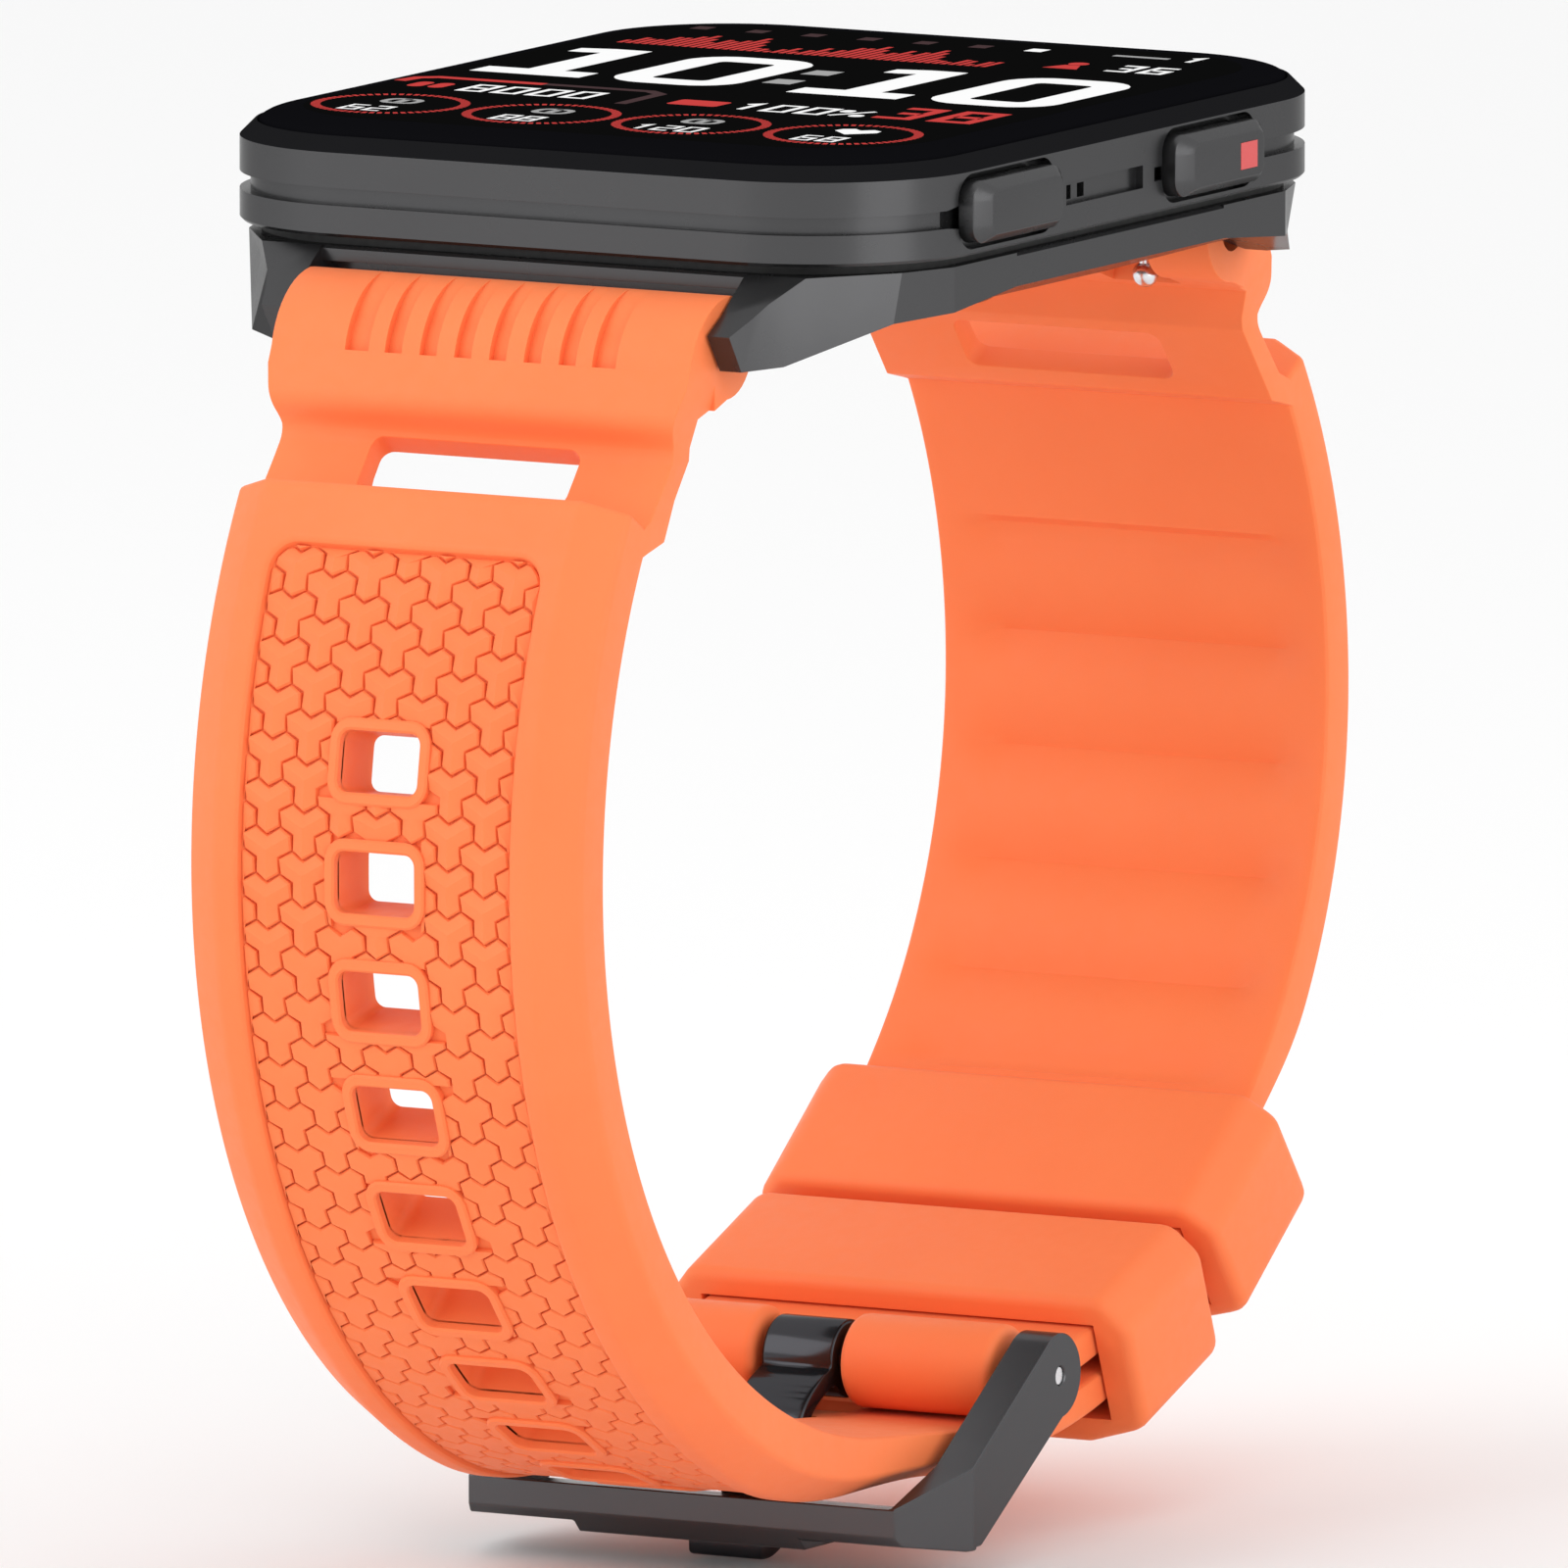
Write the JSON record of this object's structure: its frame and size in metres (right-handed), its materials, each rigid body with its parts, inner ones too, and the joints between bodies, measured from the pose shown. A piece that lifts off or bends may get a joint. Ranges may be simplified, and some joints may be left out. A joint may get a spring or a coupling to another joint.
{
  "type": "running watch",
  "caption": "Rectangular wrist computer with side buttons on a moulded rubber strap, closed into a loop by a pin buckle and two keepers.",
  "frame": {"origin": "centre of the flat sensor window on the back, where it rests on the wrist", "axes": "+Z out of the display, +X to the buttons, +Y to 12 o'clock, where the buckle strap is fixed"},
  "size_m": [0.0385, 0.0766, 0.0684],
  "materials": {
    "strap_rubber": "matte",
    "case_metal": "satin",
    "buckle_metal": "satin",
    "bright_steel": "polished",
    "seal_rubber": "matte",
    "cover_glass": "gloss",
    "sensor_glass": "gloss",
    "display_black": "gloss",
    "accent_red": "satin",
    "contact_gold": "polished",
    "circuit_board": "matte",
    "black_plastic": "matte",
    "battery_wrap": "satin",
    "antenna_ceramic": "matte"
  },
  "bodies": {
    "case": {"middle_frame": "case_metal", "cover_glass": "cover_glass", "display_panel": "display_black", "front_gasket": "seal_rubber", "rear_housing": "case_metal", "rear_gasket": "seal_rubber", "sensor_window": "sensor_glass", "optical_sensor_board": "circuit_board", "charging_contacts": "contact_gold", "housing_screws": "bright_steel", "inner_carrier": "black_plastic", "battery": "battery_wrap", "main_board": "circuit_board", "processor_shield": "bright_steel", "gps_antenna": "antenna_ceramic", "display_cable": "circuit_board", "speaker": "black_plastic", "speaker_mesh": "black_plastic", "microphone": "black_plastic", "vibration_motor": "bright_steel", "upper_button_seal": "seal_rubber", "lower_button_seal": "seal_rubber", "upper_button_switch": "bright_steel", "lower_button_switch": "bright_steel", "front_bar_tube": "bright_steel", "front_bar_plunger": "bright_steel", "front_bar_spring": "bright_steel", "rear_bar_tube": "bright_steel", "rear_bar_plunger": "bright_steel", "rear_bar_spring": "bright_steel"},
    "upper_button": {"upper_button": "case_metal", "upper_button_accent": "accent_red", "upper_button_clip": "bright_steel"},
    "lower_button": {"lower_button": "case_metal", "lower_button_clip": "bright_steel"},
    "front_release": {"front_bar_release": "bright_steel"},
    "rear_release": {"rear_bar_release": "bright_steel"},
    "buckle_strap_end": {"buckle_strap_lug_end": "strap_rubber"},
    "strap_loop": {"buckle_strap_band": "strap_rubber", "hole_strap_band": "strap_rubber", "buckle_pin": "bright_steel"},
    "hole_strap_end": {"hole_strap_lug_end": "strap_rubber"},
    "keeper_lower": {"keeper_lower": "strap_rubber"},
    "keeper_upper": {"keeper_upper": "strap_rubber"},
    "buckle": {"buckle_frame": "buckle_metal"},
    "tang": {"buckle_tang": "buckle_metal"}
  },
  "joints": [
    {"name": "upper_button_press", "type": "slide", "parent": "case", "child": "upper_button", "axis": [-1, 0, 0], "range_m": [0, 0.0004], "stiffness_N_per_m": 1500, "springref_m": -0.0004},
    {"name": "lower_button_press", "type": "slide", "parent": "case", "child": "lower_button", "axis": [-1, 0, 0], "range_m": [0, 0.0004], "stiffness_N_per_m": 1500, "springref_m": -0.0004},
    {"name": "front_bar_retract", "type": "slide", "parent": "case", "child": "front_release", "axis": [-1, 0, 0], "range_m": [0, 0.0012], "stiffness_N_per_m": 800, "springref_m": -0.0005, "deforming": ["front_bar_spring"]},
    {"name": "rear_bar_retract", "type": "slide", "parent": "case", "child": "rear_release", "axis": [-1, 0, 0], "range_m": [0, 0.0012], "stiffness_N_per_m": 800, "springref_m": -0.0005, "deforming": ["rear_bar_spring"]},
    {"name": "strap_sway", "type": "hinge", "parent": "case", "child": "buckle_strap_end", "pos_m": [0, 0.0243, 0.0012], "axis": [1, 0, 0], "range_deg": [-5, 5], "stiffness_Nm_per_rad": 0.02},
    {"name": "buckle_strap_neck", "type": "hinge", "parent": "buckle_strap_end", "child": "strap_loop", "pos_m": [0, 0.0285, -0.0051], "axis": [1, 0, 0], "range_deg": [-4.3, 4.3]},
    {"name": "hole_strap_neck", "type": "hinge", "parent": "strap_loop", "child": "hole_strap_end", "pos_m": [0, -0.0285, -0.0051], "axis": [1, 0, 0], "range_deg": [-4.3, 4.3]},
    {"name": "keeper_lower_slide", "type": "hinge", "parent": "strap_loop", "child": "keeper_lower", "pos_m": [0, 0.00375, -0.01695], "axis": [1, 0, 0], "range_deg": [-5, 0.5]},
    {"name": "keeper_upper_slide", "type": "hinge", "parent": "strap_loop", "child": "keeper_upper", "pos_m": [0, 0.00375, -0.01695], "axis": [1, 0, 0], "range_deg": [-0.5, 5]},
    {"name": "buckle_pivot", "type": "hinge", "parent": "strap_loop", "child": "buckle", "pos_m": [0, 0.004, -0.05005], "axis": [1, 0, 0], "range_deg": [0, 2.5]},
    {"name": "tang_pivot", "type": "hinge", "parent": "buckle", "child": "tang", "pos_m": [0, 0.004, -0.05005], "axis": [1, 0, 0], "range_deg": [0, 1.5]}
  ],
  "couplings": [
    {"joint": "buckle_strap_neck", "follows": "strap_sway", "ratio": -0.8526},
    {"joint": "hole_strap_neck", "follows": "strap_sway", "ratio": 0.8526}
  ]
}
